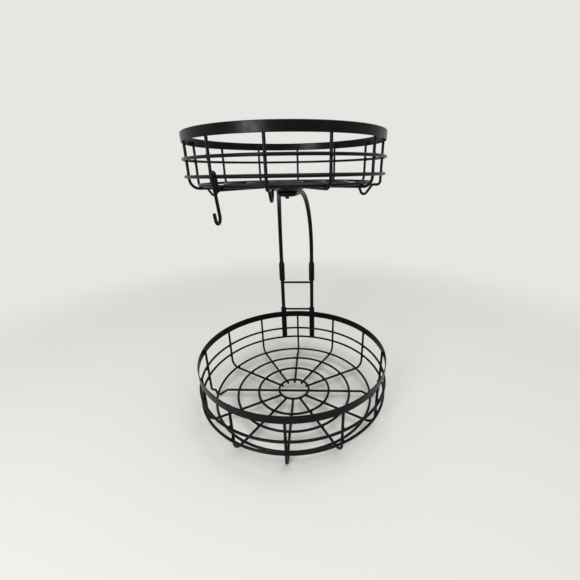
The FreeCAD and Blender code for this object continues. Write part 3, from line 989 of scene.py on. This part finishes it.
@dataclass
class Studio:
    """A plain pale floor under soft light."""

    pale: Colour = (0.80, 0.79, 0.77)
    floor_radius: float = 6.0
    floor_segments: int = 96
    clear_radius: float = 0.45
    fade_radius: float = 1.0
    paper_roughness: float = 0.9
    paper_gloss: float = 0.1
    soft_strength: float = 0.55

    def floor(self) -> None:
        """Lay the floor, which keeps the shadow and fades into the backdrop further out."""
        mesh = bmesh.new()
        bmesh.ops.create_circle(mesh, cap_ends=True, segments=self.floor_segments, radius=self.floor_radius)
        floor = to_object("studio_floor", mesh)
        floor.data.materials.append(self.floor_material())

    def floor_material(self) -> bpy.types.Material:
        """Make the floor's pale paper.

        Returns:
            The material.
        """
        paper = bpy.data.materials.new("pale_floor")
        paper.use_nodes = True
        nodes, links = paper.node_tree.nodes, paper.node_tree.links
        shader = nodes["Principled BSDF"]
        shader.inputs["Base Color"].default_value = (*self.pale, 1.0)
        shader.inputs["Roughness"].default_value = self.paper_roughness
        shader.inputs["Specular IOR Level"].default_value = self.paper_gloss
        glow = nodes.new("ShaderNodeEmission")
        glow.inputs["Color"].default_value = (*self.pale, 1.0)
        distance = nodes.new("ShaderNodeVectorMath")
        distance.operation = "LENGTH"
        links.new(nodes.new("ShaderNodeTexCoord").outputs["Object"], distance.inputs[0])
        fade = nodes.new("ShaderNodeMapRange")
        fade.interpolation_type = "SMOOTHSTEP"
        fade.inputs["From Min"].default_value = self.clear_radius
        fade.inputs["From Max"].default_value = self.fade_radius
        links.new(distance.outputs["Value"], fade.inputs["Value"])
        blend = blend_shaders(paper.node_tree, fade.outputs["Result"], shader.outputs["BSDF"],
                              glow.outputs["Emission"])
        links.new(blend, nodes["Material Output"].inputs["Surface"])
        return paper

    def sky(self) -> None:
        """Make the backdrop pale for the eye and in reflections, and a soft light for the rest."""
        world = bpy.data.worlds.new("studio")
        bpy.context.scene.world = world
        world.use_nodes = True
        nodes, links = world.node_tree.nodes, world.node_tree.links
        seen = nodes["Background"]
        seen.inputs["Color"].default_value = (*self.pale, 1.0)
        soft = nodes.new("ShaderNodeBackground")
        soft.inputs["Color"].default_value = (*self.pale, 1.0)
        soft.inputs["Strength"].default_value = self.soft_strength
        path = nodes.new("ShaderNodeLightPath")
        share: bpy.types.NodeSocket = path.outputs["Is Camera Ray"]
        for name in ("Is Glossy Ray", "Is Transmission Ray"):
            either = nodes.new("ShaderNodeMath")
            either.operation = "MAXIMUM"
            links.new(share, either.inputs[0])
            links.new(path.outputs[name], either.inputs[1])
            share = either.outputs["Value"]
        blend = blend_shaders(world.node_tree, share, soft.outputs["Background"], seen.outputs["Background"])
        links.new(blend, nodes["World Output"].inputs["Surface"])

    def lamp(self, name: str, place: Vector, aim: Vector, size: float, power: float) -> None:
        """Hang one square soft lamp.

        Args:
            name: the lamp's name.
            place: where it hangs.
            aim: the point that it faces.
            size: the length of its side.
            power: its strength in watts.
        """
        data = bpy.data.lights.new(name, "AREA")
        data.size = size
        data.energy = power
        lamp = bpy.data.objects.new(name, data)
        lamp.visible_camera = False
        turn = (aim - place).to_track_quat("-Z", "Y").to_matrix().to_4x4()
        lamp.matrix_world = Matrix.Translation(place) @ turn
        bpy.context.scene.collection.objects.link(lamp)

    def build(self) -> None:
        """Set up the floor, the backdrop and the lamps."""
        self.floor()
        self.sky()
        middle = (CAD_LOW + CAD_HIGH) / 2
        self.lamp("ceiling_softbox", place=Vector((0.25, -0.15, 1.7)), aim=middle, size=1.3, power=14.0)
        self.lamp("window_softbox", place=Vector((-0.75, -1.42, 0.62)), aim=middle, size=0.5, power=15.0)
        bpy.context.scene.view_settings.view_transform = "Standard"


BASKET_SATIN = PowderCoat(
    name="basket_satin",
    black=(0.0018, 0.0018, 0.0019), worn=(0.0038, 0.0037, 0.0036), dust=(0.035, 0.034, 0.032),
    gloss=0.10, smoothest=0.24, roughest=0.36, peel_size=0.9 * MM, peel_height=0.10 * MM, dust_share=0.08)
FRAME_SATIN = PowderCoat(
    name="frame_satin",
    black=(0.0016, 0.0016, 0.0017), worn=(0.0034, 0.0033, 0.0033), dust=(0.032, 0.031, 0.030),
    gloss=0.09, smoothest=0.30, roughest=0.44, peel_size=1.1 * MM, peel_height=0.12 * MM, dust_share=0.07)
FASTENER_SATIN = PowderCoat(
    name="fastener_satin",
    black=(0.0034, 0.0034, 0.0036), worn=(0.0075, 0.0073, 0.0071), dust=(0.04, 0.039, 0.037),
    gloss=0.16, smoothest=0.24, roughest=0.38, peel_size=0.6 * MM, peel_height=0.06 * MM, dust_share=0.08)
CAMERA = PhotoCamera(place=Vector((0.0372, -0.4135, 0.3552)), heading=2.42, pitch=23.44, roll=-0.96,
                     focal_share=301.2 / PHOTO_SIDE, shift=(-0.0243, 0.0222))


def main() -> None:
    """Build every class in order and report each piece."""
    logging.basicConfig(level=logging.INFO, format="%(name)s: %(message)s")
    CAMERA.build()
    wardrobe = Wardrobe({Coat.BASKET: BASKET_SATIN.material(), Coat.FRAME: FRAME_SATIN.material(),
                         Coat.FASTENER: FASTENER_SATIN.material()})
    wardrobe.coat_nodes()
    WireBasket(Tier.LOWER, Body.LOWER_STAND, wardrobe, through_wire=True, spoke_overhang=0.5 * MM).build()
    WireBasket(Tier.UPPER, Body.UPPER_BASKET, wardrobe, through_wire=False, spoke_overhang=2.5 * MM).build()
    PostStand(wardrobe).build()
    ArmFrame(wardrobe).build()
    Clamp(wardrobe).build()
    HangingHook(wardrobe).build()
    Studio().build()


if __name__ == "__main__":
    main()
